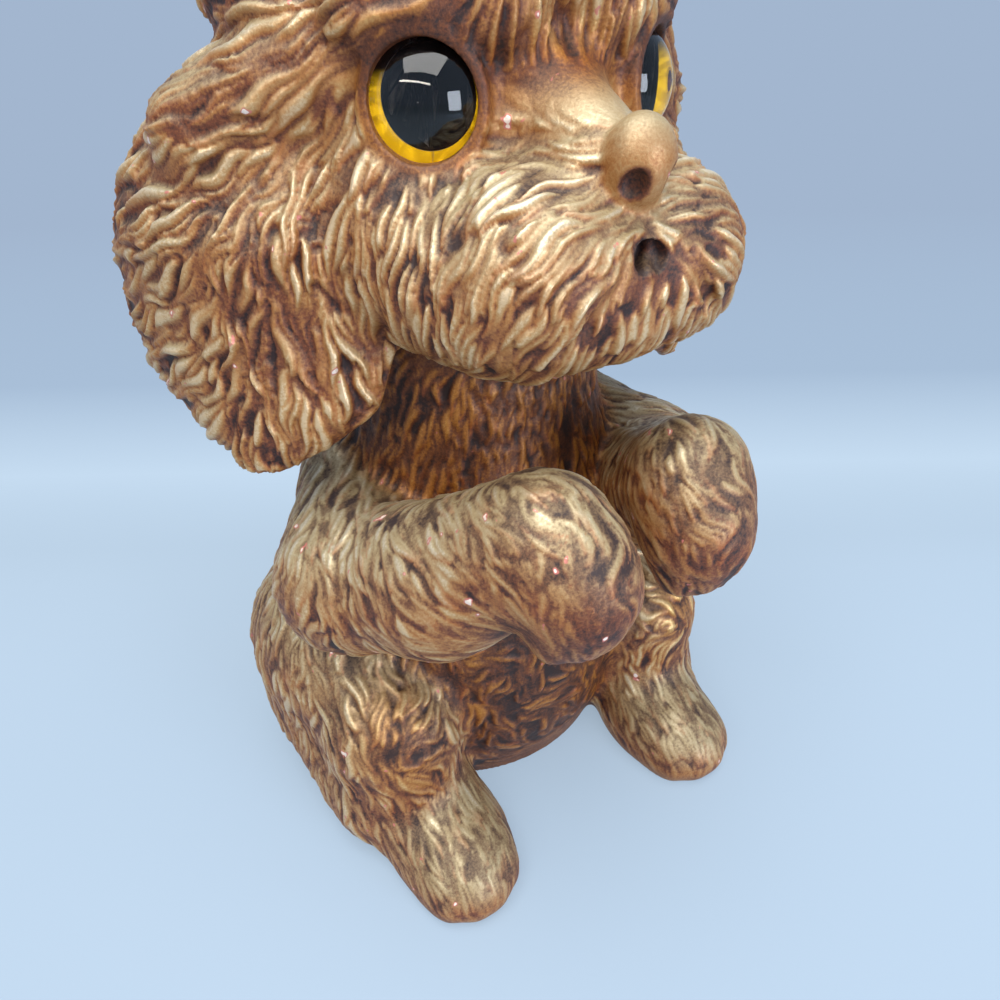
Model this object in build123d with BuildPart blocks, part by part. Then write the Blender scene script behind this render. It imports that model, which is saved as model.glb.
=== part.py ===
"""Begging puppy ornament in painted plaster (chalkware), built as its castings, glass eyes and wires.

The figure sits up on its rump and hind feet with both forepaws raised. The body is a hollow slush casting,
open underneath. The overhanging head, the hanging ears and the drooping forelegs would lock in the body's
mould, so each is a casting of its own, bedded on its neighbour with a film of wet plaster.

Frame: +Z up, the figure faces -Y, its right side is -X. The origin lies on the table, under the middle of
the figure's box. Sideways and height values below are measured from the table and the middle plane, and
values named ..._Y from the body's upright axis, which stands AXIS_Y behind the origin.
"""

import os
from math import cos, radians, sin, sqrt

from build123d import *

# Driving dimensions, in millimetres

AXIS_Y = 23.92
SEAM = 0.3  # film of wet plaster between two castings
WIRE_CLEARANCE = 0.1  # round a wire in its hole

# Body casting: elliptical sections from the base up to the neck joint
WALL = 9.0
BASE_RX, BASE_RY = 58.0, 49.0
RUMP_Z, RUMP_RX, RUMP_RY = 28.0, 64.0, 57.0
BELLY_Z, BELLY_RX, BELLY_RY = 66.0, 67.0, 60.5
WAIST_Z, WAIST_RX, WAIST_RY = 100.0, 62.0, 54.0
CHEST_Z, CHEST_RX, CHEST_RY = 132.0, 56.0, 46.0
NECK_Z, NECK_RX, NECK_RY = 180.0, 43.0, 40.5
SPIGOT_R, SPIGOT_BORE_R, SPIGOT_RISE = 30.0, 22.0, 14.0

# Haunch, thigh, knee, ankle, shank along the table and hind foot
HAUNCH_X, HAUNCH_Y, HAUNCH_Z = 57.0, 14.0, 54.0
HAUNCH_LONG_R, HAUNCH_R = 46.0, 40.0
THIGH_X, THIGH_Y, THIGH_Z, THIGH_R = 58.0, -6.0, 58.0, 32.0
KNEE_X, KNEE_Y, KNEE_Z, KNEE_R = 60.0, -34.0, 50.0, 26.0
ANKLE_X, ANKLE_Y, ANKLE_Z, ANKLE_R = 57.0, -46.0, 19.0, 20.0
HOCK_X, HOCK_Y, HOCK_Z, HOCK_R = 68.0, 6.0, 28.0, 27.0
SHANK_X, SHANK_Y, SHANK_Z, SHANK_R = 66.5, -36.0, 17.0, 22.5
FOOT_X, FOOT_Y, FOOT_Z = 54.0, -62.0, 8.0
FOOT_LONG_R, FOOT_R = 35.0, 22.0

# Stub tail against the rump
TAIL_Y, TAIL_Z, TAIL_LONG_R, TAIL_R = 55.0, 24.0, 24.0, 12.0

# Foreleg: shoulder, elbow, forearm, wrist and drooping paw. The right paw is held a little ahead of the left
SHOULDER_X, SHOULDER_Y, SHOULDER_Z, SHOULDER_R = 49.0, 2.0, 135.0, 18.5
ELBOW_X, ELBOW_Y, ELBOW_Z, ELBOW_R = 62.0, -28.0, 120.0, 24.5
FOREARM_X, FOREARM_Y, FOREARM_Z, FOREARM_R = 46.0, -58.0, 133.0, 22.5
WRIST_X, WRIST_Y, WRIST_Z, WRIST_R = 28.0, -84.0, 157.0, 19.5
PAW_X, PAW_Y, PAW_Z, PAW_LONG_R, PAW_R = 25.0, -94.5, 146.0, 21.5, 17.5
PAW_LEAD, PAW_LIFT = 4.5, 4.0
WRIST_SHARE = 0.75  # share of that lead and lift at the wrist
JOINT_SWELL = 0.6  # a rounded joint stands this proud of the limb's taper

# Head casting
HEAD_RISE = 70.0  # middle of the skull above the neck joint
JOWL_DROP, JOWL_RX, JOWL_RY = 42.0, 46.0, 45.0  # sections of the skull below and above its middle
SKULL_RX, SKULL_RY = 56.0, 54.0
BROW_LINE_RISE, BROW_LINE_RX, BROW_LINE_RY = 34.0, 47.0, 45.0
CROWN_RISE, CROWN_RX, CROWN_RY = 52.0, 26.0, 25.0
HEAD_WALL = 13.0
TOPKNOT_Y, TOPKNOT_RISE, TOPKNOT_HALF, TOPKNOT_R = -9.0, 46.0, 22.0, 39.0
FRINGE_X, FRINGE_Y, FRINGE_RISE, FRINGE_R = 17.0, -35.0, 36.0, 18.0
TEMPLE_X, TEMPLE_Y, TEMPLE_RISE, TEMPLE_R = 44.0, -9.0, 26.0, 14.5
TEMPLE_END_X, TEMPLE_END_Y, TEMPLE_END_RISE, TEMPLE_END_R = 46.0, 20.0, 22.0, 15.5
BROW_X, BROW_Y, BROW_RISE, BROW_R = 16.0, -46.0, 24.0, 8.0
BROW_END_X, BROW_END_Y, BROW_END_RISE, BROW_END_R = 41.0, -31.0, 23.0, 8.0
CHEEK_X, CHEEK_Y, CHEEK_DROP, CHEEK_R = 31.0, -24.0, 26.0, 26.0
FLEW_X, FLEW_Y, FLEW_DROP, FLEW_LONG_R, FLEW_R = 29.0, -52.0, 36.0, 26.0, 17.0
WHISKER_X, WHISKER_Y, WHISKER_DROP, WHISKER_R = 20.0, -68.0, 30.0, 20.5
MUZZLE_DROP = 28.0  # middle of the muzzle below the middle of the skull
MUZZLE_ROOT_Y, MUZZLE_ROOT_RX, MUZZLE_ROOT_RZ = -34.0, 42.0, 27.0
MUZZLE_MID_Y, MUZZLE_MID_RX, MUZZLE_MID_RZ = -58.0, 40.0, 24.0
MUZZLE_TIP_Y, MUZZLE_TIP_RX, MUZZLE_TIP_RZ = -79.0, 26.0, 16.0
CHIN_Y, CHIN_DROP, CHIN_R = -67.0, 41.0, 15.5
BRIDGE_Y, BRIDGE_RISE, BRIDGE_R = -36.0, 6.0, 17.5
BRIDGE_END_Y, BRIDGE_END_RISE, BRIDGE_END_R = -67.0, -5.0, 11.0
NOSE_Y, NOSE_DROP, NOSE_R = -80.0, 3.0, 8.4
NOSTRIL_X, NOSTRIL_DROP, NOSTRIL_R, NOSTRIL_DEPTH = 4.2, 7.0, 2.3, 4.0
MOUTH_DROP, MOUTH_R, MOUTH_DEPTH = 22.5, 3.8, 14.0

# Eyes: a clear glass cabochon over a black pupil disc in a yellow iris ring, bedded in a round socket
EYE_X, EYE_RISE, EYE_R = 33.5, 7.0, 12.4
EYE_OUT_DEG, EYE_UP_DEG = 37.0, 4.0  # which way an eye looks: outwards and upwards
EYE_EDGE, EYE_CROWN = 2.0, 6.5  # glass at its edge, and the dome above that
PUPIL_R, PAINT_THICK = 10.2, 0.6
PUPIL_UP, PUPIL_IN = 1.0, 1.2  # the pupil sits a little above and inside the middle
PAINT_GAP = 0.1  # between the pupil disc and its ring
BED_THICK = 3.0
EYE_SINK = 1.0  # edge of the glass below the skull's surface
EYE_CLEARANCE = 0.25
LID_OUT = 3.0  # plaster rim outside the glass

# Ear: roll of hair over its root, then sections down the flap: middle, half width and half thickness
ROLL_X, ROLL_Y, ROLL_RISE, ROLL_R = 46.0, -14.0, 13.0, 15.0
ROLL_END_X, ROLL_END_Y, ROLL_END_RISE, ROLL_END_R = 73.0, 4.0, -1.0, 13.0
EAR_TURN_DEG = 51.0  # a flap's width runs this far back from straight sideways
EAR_CURL = 7.0  # edges of the flap bend in towards the head
EAR_ROOT_X, EAR_ROOT_Y, EAR_ROOT_RISE, EAR_ROOT_HALF, EAR_ROOT_THICK = 54.0, 3.0, 14.0, 20.0, 6.0
EAR_TOP_X, EAR_TOP_Y, EAR_TOP_RISE, EAR_TOP_HALF, EAR_TOP_THICK = 72.0, -2.0, -10.0, 36.0, 7.5
EAR_MID_X, EAR_MID_Y, EAR_MID_RISE, EAR_MID_HALF, EAR_MID_THICK = 77.0, -5.0, -25.0, 40.0, 9.5
EAR_LOW_X, EAR_LOW_Y, EAR_LOW_RISE, EAR_LOW_HALF, EAR_LOW_THICK = 77.5, -6.0, -52.0, 45.0, 9.0
EAR_HEM_X, EAR_HEM_Y, EAR_HEM_RISE, EAR_HEM_HALF, EAR_HEM_THICK = 78.0, -10.0, -70.0, 37.0, 8.0
EAR_TIP_X, EAR_TIP_Y, EAR_TIP_RISE, EAR_TIP_HALF, EAR_TIP_THICK = 80.0, -14.0, -88.0, 9.0, 4.5

# Iron wires cast into the limbs across their joints
WIRE_R = 2.0
FORELEG_WIRE_OUT, FORELEG_WIRE_IN = 14.0, 12.0  # length on each side of the joint
EAR_WIRE_LONG = 30.0

HEAD_Z = NECK_Z + HEAD_RISE
RIGHT = -1
SEAM_SIDE = Vector(0.6, 0.5, -0.62)  # egg forms start their turn here, off the middle plane


def place(x, y, z):
    """A point from its distances to the middle plane, the body's axis and the table."""
    return Vector(x, AXIS_Y + y, z)


def oval(plane, rx, ry):
    """One elliptical section on a plane."""
    with BuildSketch(plane) as section:
        Ellipse(rx, ry)
    return section.sketch


def spheroid(middle, way, along, across, mode=Mode.ADD):
    """Adds or cuts an egg form: half an ellipse turned about the way that it points."""
    way = Vector(*way).normalized()
    with BuildSketch(Plane(middle, x_dir=way, z_dir=way.cross(SEAM_SIDE))) as half:
        with BuildLine():
            EllipticalCenterArc((0, 0), along, across, start_angle=0, arc_size=180)
            Line((-along, 0), (along, 0))
        make_face()
    revolve(half.sketch, axis=Axis(middle, way), mode=mode)


def ball(middle, radius, out=(0, 0, 1)):
    """Adds a sphere with its pole on the side that stays in sight."""
    with Locations(Plane(middle, z_dir=out)):
        Sphere(radius)


def rod(start, way, length, radius, mode=Mode.ADD):
    """Adds or cuts a round bar."""
    with BuildSketch(Plane(start, z_dir=way)) as end:
        Circle(radius)
    extrude(end.sketch, amount=length, mode=mode)


def taper(start, start_r, end, end_r):
    """Adds the round taper of a limb between two joints."""
    way = end - start
    loft([oval(Plane(start, z_dir=way), start_r, start_r), oval(Plane(end, z_dir=way), end_r, end_r)])


def upright_stack(sections, mode=Mode.ADD):
    """Adds or cuts a loft through ellipses that stand one above the other on the body's axis."""
    loft([oval(Plane(place(0, 0, height), (0, 1, 0)), ry, rx) for height, rx, ry in sections], mode=mode)


def torso_sections(grow):
    """Heights and half widths of the body's sections up to the chest, larger all round by grow."""
    return [
        (0, BASE_RX + grow, BASE_RY + grow),
        (RUMP_Z, RUMP_RX + grow, RUMP_RY + grow),
        (BELLY_Z, BELLY_RX + grow, BELLY_RY + grow),
        (WAIST_Z, WAIST_RX + grow, WAIST_RY + grow),
        (CHEST_Z, CHEST_RX + grow, CHEST_RY + grow),
    ]


def torso_form(grow=0.0):
    """Adds the outer form of the body without its legs, larger all round by grow."""
    upright_stack([*torso_sections(grow), (NECK_Z, NECK_RX + grow, NECK_RY + grow)])


def skull_form(grow=0.0):
    """Adds the neck collar and skull, larger all round by grow."""
    upright_stack(
        [
            (NECK_Z, NECK_RX + grow, NECK_RY + grow),
            (HEAD_Z - JOWL_DROP, JOWL_RX + grow, JOWL_RY + grow),
            (HEAD_Z, SKULL_RX + grow, SKULL_RY + grow),
            (HEAD_Z + BROW_LINE_RISE, BROW_LINE_RX + grow, BROW_LINE_RY + grow),
            (HEAD_Z + CROWN_RISE + grow, CROWN_RX + grow, CROWN_RY + grow),
        ]
    )


def limb(joints):
    """Adds rounded joints and the tapers between them."""
    for middle, radius in joints:
        ball(middle, radius + JOINT_SWELL)
    for (start, start_r), (end, end_r) in zip(joints, joints[1:]):
        taper(start, start_r, end, end_r)


def hind_leg(side):
    """Adds one haunch, thigh, shin, shank along the table and foot."""
    spheroid(place(side * HAUNCH_X, HAUNCH_Y, HAUNCH_Z), (0, 1, 0), HAUNCH_LONG_R, HAUNCH_R)
    thigh = place(side * THIGH_X, THIGH_Y, THIGH_Z)
    knee = place(side * KNEE_X, KNEE_Y, KNEE_Z)
    ankle = place(side * ANKLE_X, ANKLE_Y, ANKLE_Z)
    limb([(thigh, THIGH_R), (knee, KNEE_R), (ankle, ANKLE_R)])
    hock = place(side * HOCK_X, HOCK_Y, HOCK_Z)
    shank = place(side * SHANK_X, SHANK_Y, SHANK_Z)
    limb([(hock, HOCK_R), (shank, SHANK_R)])
    spheroid(place(side * FOOT_X, FOOT_Y, FOOT_Z), (0, 1, 0), FOOT_LONG_R, FOOT_R)


def head_side(side, grow=0.0):
    """Adds the temple hair, brow, cheek and flew of one side, larger all round by grow."""
    temple = place(side * TEMPLE_X, TEMPLE_Y, HEAD_Z + TEMPLE_RISE)
    temple_end = place(side * TEMPLE_END_X, TEMPLE_END_Y, HEAD_Z + TEMPLE_END_RISE)
    limb([(temple, TEMPLE_R + grow), (temple_end, TEMPLE_END_R + grow)])
    brow = place(side * BROW_X, BROW_Y, HEAD_Z + BROW_RISE)
    brow_end = place(side * BROW_END_X, BROW_END_Y, HEAD_Z + BROW_END_RISE)
    limb([(brow, BROW_R + grow), (brow_end, BROW_END_R + grow)])
    ball(place(side * CHEEK_X, CHEEK_Y, HEAD_Z - CHEEK_DROP), CHEEK_R + grow, (side, -0.3, -0.2))
    flew = place(side * FLEW_X, FLEW_Y, HEAD_Z - FLEW_DROP)
    spheroid(flew, (0, 1, 0), FLEW_LONG_R + grow, FLEW_R + grow)


def shoulder_point(side):
    """Where a foreleg's wire crosses the joint with the body."""
    return place(side * SHOULDER_X, SHOULDER_Y, SHOULDER_Z)


def foreleg_wire_way(side):
    """The way a foreleg's wire runs out of the body."""
    return Vector(side, 0, 0)


def ear_root(side):
    """Where an ear's wire starts, in the skull's wall."""
    return place(side * ROLL_X, ROLL_Y, HEAD_Z + ROLL_RISE)


def ear_wire_way(side):
    """The way an ear's wire runs out of the head, along the roll of hair."""
    end = place(side * ROLL_END_X, ROLL_END_Y, HEAD_Z + ROLL_END_RISE)
    return (end - ear_root(side)).normalized()


def foreleg_wire_hole(side):
    """Cuts the hole for a foreleg's wire."""
    way = foreleg_wire_way(side)
    start = shoulder_point(side) - way * FORELEG_WIRE_IN
    rod(start, way, FORELEG_WIRE_IN + FORELEG_WIRE_OUT, WIRE_R + WIRE_CLEARANCE, Mode.SUBTRACT)


def ear_wire_hole(side):
    """Cuts the hole for an ear's wire."""
    way = ear_wire_way(side)
    rod(ear_root(side), way, EAR_WIRE_LONG, WIRE_R + WIRE_CLEARANCE, Mode.SUBTRACT)


def eye_plane(side, out=0.0):
    """The plane of an eye's paint, moved outwards along the way that the eye looks."""
    across = sqrt(1 - (EYE_X / SKULL_RX) ** 2)
    turn, lift = radians(EYE_OUT_DEG), radians(EYE_UP_DEG)
    look = Vector(side * sin(turn) * cos(lift), -cos(turn) * cos(lift), sin(lift))
    surface = place(side * EYE_X, -SKULL_RY * across, HEAD_Z + EYE_RISE)
    return Plane(surface + look * (out - EYE_SINK - EYE_EDGE), x_dir=(0, 0, 1), z_dir=look)


def foreleg_form(side):
    """Adds the bent foreleg from shoulder to paw."""
    ahead = Vector(0, side * PAW_LEAD, -side * PAW_LIFT)
    elbow = place(side * ELBOW_X, ELBOW_Y, ELBOW_Z)
    forearm = place(side * FOREARM_X, FOREARM_Y, FOREARM_Z)
    wrist = place(side * WRIST_X, WRIST_Y, WRIST_Z) + ahead * WRIST_SHARE
    limb([(shoulder_point(side), SHOULDER_R), (elbow, ELBOW_R), (forearm, FOREARM_R), (wrist, WRIST_R)])
    spheroid(place(side * PAW_X, PAW_Y, PAW_Z) + ahead, (0, -0.2, -1), PAW_LONG_R, PAW_R)


def ear_section(plane, half, thick):
    """One section of an ear: bowed outside, hollow inside, with its edges bent in towards the head."""
    edge = -EAR_CURL * half / EAR_LOW_HALF
    with BuildSketch(plane) as section:
        with BuildLine():
            ThreePointArc((-half, edge), (0, thick), (half, edge))
            ThreePointArc((half, edge), (0, -thick), (-half, edge))
        make_face()
    return section.sketch


def ear_form(side):
    """Adds the roll of hair over an ear's root and the flap as a loft down through its sections."""
    roll_end = place(side * ROLL_END_X, ROLL_END_Y, HEAD_Z + ROLL_END_RISE)
    limb([(ear_root(side), ROLL_R), (roll_end, ROLL_END_R)])
    sections = (
        (EAR_ROOT_X, EAR_ROOT_Y, EAR_ROOT_RISE, EAR_ROOT_HALF, EAR_ROOT_THICK),
        (EAR_TOP_X, EAR_TOP_Y, EAR_TOP_RISE, EAR_TOP_HALF, EAR_TOP_THICK),
        (EAR_MID_X, EAR_MID_Y, EAR_MID_RISE, EAR_MID_HALF, EAR_MID_THICK),
        (EAR_LOW_X, EAR_LOW_Y, EAR_LOW_RISE, EAR_LOW_HALF, EAR_LOW_THICK),
        (EAR_HEM_X, EAR_HEM_Y, EAR_HEM_RISE, EAR_HEM_HALF, EAR_HEM_THICK),
        (EAR_TIP_X, EAR_TIP_Y, EAR_TIP_RISE, EAR_TIP_HALF, EAR_TIP_THICK),
    )
    back, out = sin(radians(EAR_TURN_DEG)), cos(radians(EAR_TURN_DEG))
    width_way = (side * out, back, 0)
    faces = []
    for x, y, rise, half, thick in sections:
        middle = place(side * x, y, HEAD_Z + rise)
        faces.append(ear_section(Plane(middle, width_way, (0, 0, -side)), half, thick))
    loft(faces)


def write(part, name):
    """Labels a finished piece and writes its file."""
    part.label = name
    export_step(part, f"parts/{name}.step")
    print(name, round(part.volume / 1000, 1), "cm3")


os.makedirs("parts", exist_ok=True)

# Body casting with haunches, hind feet and tail: hollow, open at the base and through the neck spigot

with BuildPart() as torso:
    torso_form()
    rod(place(0, 0, NECK_Z), (0, 0, 1), SPIGOT_RISE, SPIGOT_R)
    for side in (RIGHT, -RIGHT):
        hind_leg(side)
    spheroid(place(0, TAIL_Y, TAIL_Z), (0, 0.35, 1), TAIL_LONG_R, TAIL_R)
    split(bisect_by=Plane.XY)
    upright_stack(
        [*torso_sections(-WALL), (NECK_Z, SPIGOT_BORE_R, SPIGOT_BORE_R)],
        Mode.SUBTRACT,
    )
    rod(place(0, 0, NECK_Z), (0, 0, 1), SPIGOT_RISE, SPIGOT_BORE_R, Mode.SUBTRACT)
    for side in (RIGHT, -RIGHT):
        foreleg_wire_hole(side)
write(torso.part, "torso_casting")

# Head casting: hollow skull with collar, muzzle, nose, brows, cheeks, topknot and eye sockets

with BuildPart() as head:
    skull_form()
    muzzle = (
        (MUZZLE_ROOT_Y, MUZZLE_ROOT_RX, MUZZLE_ROOT_RZ),
        (MUZZLE_MID_Y, MUZZLE_MID_RX, MUZZLE_MID_RZ),
        (MUZZLE_TIP_Y, MUZZLE_TIP_RX, MUZZLE_TIP_RZ),
    )
    faces = []
    for y, rx, rz in muzzle:
        faces.append(oval(Plane(place(0, y, HEAD_Z - MUZZLE_DROP), (1, 0, 0), (0, -1, 0)), rx, rz))
    loft(faces)
    for side in (RIGHT, -RIGHT):
        head_side(side)
        ball(place(side * WHISKER_X, WHISKER_Y, HEAD_Z - WHISKER_DROP), WHISKER_R, (side, -1.2, 0.1))
    ball(place(0, CHIN_Y, HEAD_Z - CHIN_DROP), CHIN_R, (0, -0.4, -1))
    bridge = place(0, BRIDGE_Y, HEAD_Z + BRIDGE_RISE)
    bridge_end = place(0, BRIDGE_END_Y, HEAD_Z + BRIDGE_END_RISE)
    limb([(bridge, BRIDGE_R), (bridge_end, BRIDGE_END_R)])
    spheroid(place(0, TOPKNOT_Y, HEAD_Z + TOPKNOT_RISE), (0, 0.1, 1), TOPKNOT_HALF, TOPKNOT_R)
    fringe = [place(side * FRINGE_X, FRINGE_Y, HEAD_Z + FRINGE_RISE) for side in (RIGHT, -RIGHT)]
    limb([(end, FRINGE_R) for end in fringe])
    ball(place(0, NOSE_Y, HEAD_Z - NOSE_DROP), NOSE_R, (0, -1, 0))
    for side in (RIGHT, -RIGHT):
        rim = eye_plane(side, EYE_EDGE)
        rod(rim.origin, -rim.z_dir, BED_THICK + EYE_EDGE + EYE_R, EYE_R + LID_OUT)
    rod(place(0, 0, NECK_Z), (0, 0, 1), SPIGOT_RISE + SEAM, SPIGOT_R + SEAM, Mode.SUBTRACT)
    upright_stack(
        [
            (NECK_Z + SPIGOT_RISE + SEAM, SPIGOT_R, SPIGOT_R),
            (HEAD_Z, SKULL_RX - HEAD_WALL, SKULL_RY - HEAD_WALL),
            (HEAD_Z + BROW_LINE_RISE, BROW_LINE_RX - HEAD_WALL, BROW_LINE_RY - HEAD_WALL),
            (HEAD_Z + CROWN_RISE - HEAD_WALL, CROWN_RX, CROWN_RY),
        ],
        Mode.SUBTRACT,
    )
    for side in (RIGHT, -RIGHT):
        floor = eye_plane(side, -PAINT_THICK - BED_THICK)
        rod(floor.origin, floor.z_dir, EYE_R * 2, EYE_R + EYE_CLEARANCE, Mode.SUBTRACT)
        ear_wire_hole(side)
        nostril = place(side * NOSTRIL_X, NOSE_Y - NOSE_R, HEAD_Z - NOSTRIL_DROP)
        rod(nostril, (0, 1, 0), NOSTRIL_DEPTH, NOSTRIL_R, Mode.SUBTRACT)
    rod(place(0, MUZZLE_TIP_Y, HEAD_Z - MOUTH_DROP), (0, 1, 0), MOUTH_DEPTH, MOUTH_R, Mode.SUBTRACT)
write(head.part, "head_casting")

# Pieces that come in pairs

for side, name in ((RIGHT, "right"), (-RIGHT, "left")):
    with BuildPart() as cutter:
        torso_form(SEAM)
    with BuildPart() as foreleg:
        foreleg_form(side)
        add(cutter.part, mode=Mode.SUBTRACT)
        foreleg_wire_hole(side)
    write(foreleg.part, f"{name}_foreleg_casting")

    with BuildPart() as foreleg_wire:
        way = foreleg_wire_way(side)
        rod(shoulder_point(side) - way * FORELEG_WIRE_IN, way, FORELEG_WIRE_IN + FORELEG_WIRE_OUT, WIRE_R)
    write(foreleg_wire.part, f"{name}_foreleg_wire")

    with BuildPart() as skull_cutter:
        skull_form(SEAM)
        head_side(side, SEAM)
    with BuildPart() as ear:
        ear_form(side)
        add(skull_cutter.part, mode=Mode.SUBTRACT)
        ear_wire_hole(side)
    write(ear.part, f"{name}_ear_casting")

    with BuildPart() as ear_wire:
        rod(ear_root(side), ear_wire_way(side), EAR_WIRE_LONG, WIRE_R)
    write(ear_wire.part, f"{name}_ear_wire")

    paint = eye_plane(side)
    with BuildPart() as eye_glass:
        profile = Plane(paint.origin, x_dir=paint.x_dir, z_dir=paint.x_dir.cross(paint.z_dir))
        dome_r = (EYE_R**2 + EYE_CROWN**2) / EYE_CROWN / 2
        with BuildSketch(profile):
            with BuildLine():
                Polyline((0, EYE_EDGE + EYE_CROWN), (0, 0), (EYE_R, 0), (EYE_R, EYE_EDGE))
                RadiusArc((0, EYE_EDGE + EYE_CROWN), (EYE_R, EYE_EDGE), dome_r)
            make_face()
        revolve(axis=Axis(paint.origin, paint.z_dir))
    write(eye_glass.part, f"{name}_eye_glass")

    with BuildPart() as eye_iris:
        with BuildSketch(paint):
            Circle(EYE_R)
            with Locations((PUPIL_UP, side * PUPIL_IN)):
                Circle(PUPIL_R + PAINT_GAP, mode=Mode.SUBTRACT)
        extrude(amount=-PAINT_THICK)
    write(eye_iris.part, f"{name}_eye_iris")

    with BuildPart() as eye_pupil:
        with BuildSketch(paint):
            with Locations((PUPIL_UP, side * PUPIL_IN)):
                Circle(PUPIL_R)
        extrude(amount=-PAINT_THICK)
    write(eye_pupil.part, f"{name}_eye_pupil")

    with BuildPart() as eye_bed:
        back = eye_plane(side, -PAINT_THICK)
        rod(back.origin, -back.z_dir, BED_THICK, EYE_R)
    write(eye_bed.part, f"{name}_eye_bed")
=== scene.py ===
"""Looks of the begging puppy figure: sculpted fur, painted plaster, glass eyes, pale blue sweep."""

from math import pi, radians

import bpy
import numpy as np
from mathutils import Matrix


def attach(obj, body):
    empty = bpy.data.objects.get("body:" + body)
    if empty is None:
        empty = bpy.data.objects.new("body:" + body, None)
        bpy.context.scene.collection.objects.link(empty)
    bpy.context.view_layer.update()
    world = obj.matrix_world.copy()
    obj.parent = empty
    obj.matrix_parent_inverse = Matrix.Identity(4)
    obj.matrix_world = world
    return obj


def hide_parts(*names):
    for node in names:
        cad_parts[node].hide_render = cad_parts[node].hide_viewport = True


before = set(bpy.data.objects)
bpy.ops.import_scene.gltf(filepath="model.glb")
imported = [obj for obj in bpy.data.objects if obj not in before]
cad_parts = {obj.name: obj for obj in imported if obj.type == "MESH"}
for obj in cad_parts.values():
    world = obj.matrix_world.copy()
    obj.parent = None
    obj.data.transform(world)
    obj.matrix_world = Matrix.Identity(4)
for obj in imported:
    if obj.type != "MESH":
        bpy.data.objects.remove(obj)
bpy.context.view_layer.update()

import openvdb
from mathutils import Euler, Matrix, Vector, kdtree

# Sizes are in millimetres: x from the figure's middle plane, y from the body's axis, z from the table
# The axis in the part's frame, the casting's wall, and the tops of hollow and body
AXIS_Y = 23.92
WALL = 9
HOLLOW_TOP, BODY_TOP = 165, 205
COARSE = 1.0
rng = np.random.default_rng(41)
bpy.context.scene.view_settings.view_transform = "Standard"


def colour(text):
    """sRGB hex to linear RGBA."""
    parts = [int(text[i : i + 2], 16) / 255 for i in (1, 3, 5)]
    return [c / 12.92 if c <= 0.04045 else ((c + 0.055) / 1.055) ** 2.4 for c in parts] + [1.0]


# Forms: signed distances that take points as an array of shape (..., 3)


def egg(p, middle, radii):
    """Distance to an ellipsoid."""
    q = (p - np.float32(middle)) / np.float32(radii)
    near = np.sqrt((q * q).sum(-1)) + 1e-6
    q = q / np.float32(radii)
    return near * (near - 1) / (np.sqrt((q * q).sum(-1)) + 1e-6)


def limb(p, start, end, start_r, end_r):
    """Distance to a round taper between two joints."""
    a, b = np.float32(start), np.float32(end)
    way = b - a
    t = np.clip(((p - a) @ way) / (way @ way), 0, 1)
    gap = p - a - t[..., None] * way
    return np.sqrt((gap * gap).sum(-1)) - (start_r + (end_r - start_r) * t)


def join(a, b, soft):
    """Smooth union."""
    h = np.clip(0.5 + 0.5 * (b - a) / soft, 0, 1)
    return b + (a - b) * h - soft * h * (1 - h)


def cut(a, b, soft):
    """Smooth subtraction of b from a."""
    return -join(-a, b, soft)


COLUMN = np.array(
    [
        # Height, then half width, half depth and the middle's y of the pear-shaped body
        (-30, 54, 46, 5),
        (0, 58, 49, 3),
        (28, 64, 57, 2),
        (66, 67, 60, 2),
        (100, 62, 54, 1),
        (132, 56, 46, 0),
        (158, 47, 42, 0),
        (180, 43, 40, 0),
        (215, 42, 39, 0),
    ],
    dtype=np.float32,
)


def profile(table, low, high, blur, z):
    """Columns of a table against height, smoothed over a span of millimetres and read at heights z."""
    height = np.linspace(low, high, high - low + 1)
    kernel = np.hanning(blur)
    found = []
    for values in table[:, 1:].T:
        row = np.interp(height, table[:, 0], values)
        row = np.convolve(np.pad(row, blur // 2, "edge"), kernel / kernel.sum(), "valid")
        found.append(np.interp(z, height, row).astype(np.float32))
    return found


def column(p, grow=0.0):
    """Distance to the pear-shaped body: ellipses up the axis."""
    rx, ry, cy = profile(COLUMN, -30, 215, 31, p[..., 2])
    rx, ry = rx + grow, ry + grow
    q = np.sqrt((p[..., 0] / rx) ** 2 + ((p[..., 1] - cy) / ry) ** 2)
    return np.maximum((q - 1) * np.minimum(rx, ry), p[..., 2] - BODY_TOP)


def hind_leg(p, s):
    """Distance to one hind leg: haunch, thigh, shank, shin, foot and toes."""
    d = egg(p, (s * 57, 14, 54), (39, 46, 42))
    d = join(d, limb(p, (s * 58, -6, 58), (s * 60, -34, 50), 32, 25), 10)
    d = join(d, limb(p, (s * 68, 6, 28), (s * 66.5, -36, 17), 27, 22.5), 10)
    d = join(d, limb(p, (s * 60, -34, 46), (s * 57, -46, 19), 24, 20), 9)
    d = join(d, egg(p, (s * 54, -62, 8), (23, 35, 20)), 9)
    for step in (-12, -4, 4, 12):
        d = join(d, egg(p, (s * 54 + step, -85 + abs(step) * 0.4, 7), (6, 11, 10)), 5)
    return d


def foreleg(p, s):
    """Distance to one bent foreleg: upper arm, forearm, wrist, drooping paw and toes."""
    d = limb(p, (s * 49, 2, 135), (s * 62, -28, 120), 18.5, 24)
    d = join(d, limb(p, (s * 62, -28, 120), (s * 46, -58, 132), 24, 22), 10)
    d = join(d, limb(p, (s * 46, -58, 133), (s * 28, -84, 157), 22, 19.5), 10)
    d = join(d, egg(p, (s * 25, -94, 147), (17.5, 17.5, 20)), 7)
    for step in (-9.5, -3.2, 3.2, 9.5):
        d = join(d, egg(p, (s * 25 + step, -100 + abs(step) * 0.4, 135), (4.8, 7, 8)), 4)
    return d


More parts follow.
